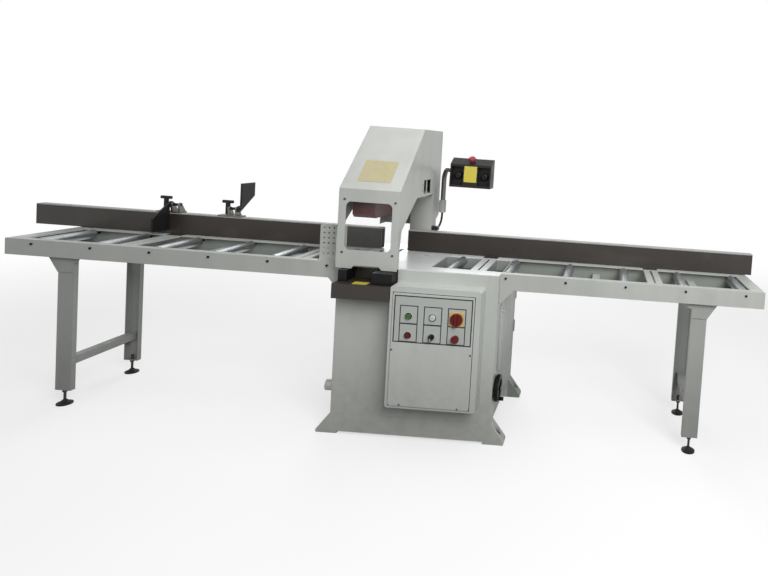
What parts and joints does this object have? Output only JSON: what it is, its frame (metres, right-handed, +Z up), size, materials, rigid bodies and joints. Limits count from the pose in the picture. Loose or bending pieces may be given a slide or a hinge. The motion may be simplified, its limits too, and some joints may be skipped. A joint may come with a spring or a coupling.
{
  "type": "pneumatic cut-off saw",
  "caption": "Up-cut saw with a rising blade under a hood, roller tables and fences on both sides, flip stops, an electric box and a swivelling two-hand station.",
  "frame": {"origin": "on the floor, in the middle of the four anchor holes under the cabinet", "axes": "+X along the tables to the right as the operator sees it, +Y to the rear, +Z up"},
  "size_m": [4.113, 0.7494, 1.545],
  "materials": {
    "white_paint": "satin",
    "grey_paint": "satin",
    "brown_paint": "satin",
    "maroon_plastic": "matte",
    "table_steel": "machined",
    "bright_steel": "polished",
    "dark_steel": "blackened",
    "black_plastic": "matte",
    "black_rubber": "matte",
    "dark_housing": "matte",
    "grey_spout": "satin",
    "clear_pane": "clear",
    "red_plastic": "gloss",
    "green_plastic": "gloss",
    "cast_light": "cast"
  },
  "bodies": {
    "machine": {"cabinet_shell": "grey_paint", "foot_beams": "grey_paint", "top_plate": "white_paint", "left_table_frame": "white_paint", "right_table_frame": "white_paint", "roller_axles": "dark_steel", "leg_frames": "white_paint", "levelling_feet": "black_rubber", "fences": "brown_paint", "fence_tracks": "white_paint", "hood_shell": "white_paint", "hood_window": "clear_pane", "wing_guard": "white_paint", "air_cylinders": "cast_light", "control_box": "white_paint", "control_cover": "white_paint", "start_tray": "brown_paint", "valve_boxes": "black_plastic", "dust_port": "grey_spout", "pendant_socket": "white_paint", "pendant_cable": "black_rubber"},
    "swing": {"swing_arm": "grey_paint", "motor": "cast_light", "drive_belt": "black_rubber"},
    "spindle": {"saw_blade": "bright_steel", "arbor": "bright_steel"},
    "pendant": {"pendant_arm": "white_paint", "pendant_station": "dark_housing"},
    "lift_rod_body": {"lift_rod": "bright_steel"},
    "clamp_block_body": {"clamp_block": "maroon_plastic"},
    "motor_pulley_body": {"motor_pulley": "dark_steel"},
    "green_button_body": {"green_button": "green_plastic"},
    "red_button_body": {"red_button": "red_plastic"},
    "stop_button_body": {"stop_button": "red_plastic"},
    "main_switch_body": {"main_switch": "red_plastic"},
    "selector_knob_body": {"selector_knob": "black_plastic"},
    "handwheel_body": {"handwheel": "black_plastic"},
    "side_door_body": {"side_door": "grey_paint"},
    "door_latch_body": {"door_latch": "bright_steel"},
    "left_palm_button_body": {"left_palm_button": "black_plastic"},
    "right_palm_button_body": {"right_palm_button": "black_plastic"},
    "emergency_stop_body": {"emergency_stop": "red_plastic"},
    "stop_carriage_1_body": {"stop_carriage_1": "white_paint"},
    "stop_carriage_2_body": {"stop_carriage_2": "white_paint"},
    "stop_flag_1_body": {"stop_flag_1": "black_plastic"},
    "stop_flag_2_body": {"stop_flag_2": "black_plastic"},
    "stop_knob_1_body": {"stop_knob_1": "black_plastic"},
    "stop_knob_2_body": {"stop_knob_2": "black_plastic"},
    "left_roller_1_body": {"left_roller_1": "bright_steel"},
    "left_roller_2_body": {"left_roller_2": "bright_steel"},
    "left_roller_3_body": {"left_roller_3": "bright_steel"},
    "left_roller_4_body": {"left_roller_4": "bright_steel"},
    "left_roller_5_body": {"left_roller_5": "bright_steel"},
    "left_roller_6_body": {"left_roller_6": "bright_steel"},
    "right_roller_1_body": {"right_roller_1": "bright_steel"},
    "right_roller_2_body": {"right_roller_2": "bright_steel"},
    "right_roller_3_body": {"right_roller_3": "bright_steel"},
    "right_roller_4_body": {"right_roller_4": "bright_steel"},
    "right_roller_5_body": {"right_roller_5": "bright_steel"},
    "right_roller_6_body": {"right_roller_6": "bright_steel"}
  },
  "joints": [
    {"name": "arm_lift", "type": "hinge", "parent": "machine", "child": "swing", "pos_m": [-0.158, 0.21204, 0.698], "axis": [-1, 0, 0], "range_deg": [0, 30.2]},
    {"name": "lift_rod_slide", "type": "slide", "parent": "machine", "child": "lift_rod_body", "axis": [0, 0, 1], "range_m": [0, 0.0653]},
    {"name": "arbor_spin", "type": "hinge", "parent": "swing", "child": "spindle", "pos_m": [-0.25, -0.01, 0.638], "axis": [1, 0, 0], "continuous": true},
    {"name": "motor_spin", "type": "hinge", "parent": "swing", "child": "motor_pulley_body", "pos_m": [-0.062, 0.13004, 0.44], "axis": [1, 0, 0], "continuous": true},
    {"name": "clamp_slide", "type": "slide", "parent": "machine", "child": "clamp_block_body", "axis": [0, 0, -1], "range_m": [0, 0.19], "stiffness_N_per_m": 450, "springref_m": -0.1},
    {"name": "left_roller_1_spin", "type": "hinge", "parent": "machine", "child": "left_roller_1_body", "pos_m": [-0.475, -0.0645, 0.828], "axis": [0, 1, 0], "continuous": true},
    {"name": "left_roller_2_spin", "type": "hinge", "parent": "machine", "child": "left_roller_2_body", "pos_m": [-0.775, -0.0645, 0.828], "axis": [0, 1, 0], "continuous": true},
    {"name": "left_roller_3_spin", "type": "hinge", "parent": "machine", "child": "left_roller_3_body", "pos_m": [-1.075, -0.0645, 0.828], "axis": [0, 1, 0], "continuous": true},
    {"name": "left_roller_4_spin", "type": "hinge", "parent": "machine", "child": "left_roller_4_body", "pos_m": [-1.375, -0.0645, 0.828], "axis": [0, 1, 0], "continuous": true},
    {"name": "left_roller_5_spin", "type": "hinge", "parent": "machine", "child": "left_roller_5_body", "pos_m": [-1.675, -0.0645, 0.828], "axis": [0, 1, 0], "continuous": true},
    {"name": "left_roller_6_spin", "type": "hinge", "parent": "machine", "child": "left_roller_6_body", "pos_m": [-1.975, -0.0645, 0.828], "axis": [0, 1, 0], "continuous": true},
    {"name": "right_roller_1_spin", "type": "hinge", "parent": "machine", "child": "right_roller_1_body", "pos_m": [0.125, -0.0645, 0.828], "axis": [0, 1, 0], "continuous": true},
    {"name": "right_roller_2_spin", "type": "hinge", "parent": "machine", "child": "right_roller_2_body", "pos_m": [0.425, -0.0645, 0.828], "axis": [0, 1, 0], "continuous": true},
    {"name": "right_roller_3_spin", "type": "hinge", "parent": "machine", "child": "right_roller_3_body", "pos_m": [0.725, -0.0645, 0.828], "axis": [0, 1, 0], "continuous": true},
    {"name": "right_roller_4_spin", "type": "hinge", "parent": "machine", "child": "right_roller_4_body", "pos_m": [1.025, -0.0645, 0.828], "axis": [0, 1, 0], "continuous": true},
    {"name": "right_roller_5_spin", "type": "hinge", "parent": "machine", "child": "right_roller_5_body", "pos_m": [1.325, -0.0645, 0.828], "axis": [0, 1, 0], "continuous": true},
    {"name": "right_roller_6_spin", "type": "hinge", "parent": "machine", "child": "right_roller_6_body", "pos_m": [1.625, -0.0645, 0.828], "axis": [0, 1, 0], "continuous": true},
    {"name": "stop_1_slide", "type": "slide", "parent": "machine", "child": "stop_carriage_1_body", "axis": [1, 0, 0], "range_m": [-0.6, 0.08]},
    {"name": "stop_1_flip", "type": "hinge", "parent": "stop_carriage_1_body", "child": "stop_flag_1_body", "pos_m": [-1.59, 0.145, 1.018], "axis": [-1, 0, 0], "range_deg": [0, 178]},
    {"name": "stop_1_clamp", "type": "hinge", "parent": "stop_carriage_1_body", "child": "stop_knob_1_body", "pos_m": [-1.629, 0.16, 1.018], "axis": [0, 0, 1], "range_deg": [0, 270]},
    {"name": "stop_2_slide", "type": "slide", "parent": "machine", "child": "stop_carriage_2_body", "axis": [1, 0, 0], "range_m": [-0.08, 0.7]},
    {"name": "stop_2_flip", "type": "hinge", "parent": "stop_carriage_2_body", "child": "stop_flag_2_body", "pos_m": [-1.195, 0.145, 1.018], "axis": [1, 0, 0], "range_deg": [0, 178]},
    {"name": "stop_2_clamp", "type": "hinge", "parent": "stop_carriage_2_body", "child": "stop_knob_2_body", "pos_m": [-1.27, 0.16, 1.018], "axis": [0, 0, 1], "range_deg": [0, 270]},
    {"name": "green_button_press", "type": "slide", "parent": "machine", "child": "green_button_body", "axis": [0, 1, 0], "range_m": [0, 0.005], "stiffness_N_per_m": 600, "springref_m": -0.003},
    {"name": "red_button_press", "type": "slide", "parent": "machine", "child": "red_button_body", "axis": [0, 1, 0], "range_m": [0, 0.005], "stiffness_N_per_m": 600, "springref_m": -0.003},
    {"name": "stop_button_press", "type": "slide", "parent": "machine", "child": "stop_button_body", "axis": [0, 1, 0], "range_m": [0, 0.005], "stiffness_N_per_m": 600, "springref_m": -0.003},
    {"name": "main_switch_turn", "type": "hinge", "parent": "machine", "child": "main_switch_body", "pos_m": [0.229, -0.41, 0.652], "axis": [0, 1, 0], "range_deg": [0, 90]},
    {"name": "selector_turn", "type": "hinge", "parent": "machine", "child": "selector_knob_body", "pos_m": [0.1145, -0.41, 0.56], "axis": [0, 1, 0], "range_deg": [0, 60]},
    {"name": "pendant_swivel", "type": "hinge", "parent": "machine", "child": "pendant", "pos_m": [-0.072, 0.3, 1.1], "axis": [0, 0, 1], "range_deg": [-15, 100]},
    {"name": "emergency_stop_press", "type": "slide", "parent": "pendant", "child": "emergency_stop_body", "axis": [0, 0.4961, -0.8682], "range_m": [0, 0.005], "stiffness_N_per_m": 800, "springref_m": -0.004},
    {"name": "left_palm_press", "type": "slide", "parent": "pendant", "child": "left_palm_button_body", "axis": [0, 1, 0], "range_m": [0, 0.006], "stiffness_N_per_m": 500, "springref_m": -0.003},
    {"name": "right_palm_press", "type": "slide", "parent": "pendant", "child": "right_palm_button_body", "axis": [0, 1, 0], "range_m": [0, 0.006], "stiffness_N_per_m": 500, "springref_m": -0.003},
    {"name": "handwheel_turn", "type": "hinge", "parent": "machine", "child": "handwheel_body", "pos_m": [0.41, -0.235, 0.262], "axis": [1, 0, 0], "continuous": true},
    {"name": "door_swing", "type": "hinge", "parent": "machine", "child": "side_door_body", "pos_m": [0.4074, 0.2424, 0.527], "axis": [0, 0, 1], "range_deg": [0, 110]},
    {"name": "latch_turn", "type": "hinge", "parent": "side_door_body", "child": "door_latch_body", "pos_m": [0.408, -0.178, 0.642], "axis": [1, 0, 0], "range_deg": [0, 90]}
  ],
  "couplings": [
    {"joint": "lift_rod_slide", "follows": "arm_lift", "m_per_rad": 0.12355},
    {"joint": "motor_spin", "follows": "arbor_spin", "ratio": 0.73333}
  ]
}
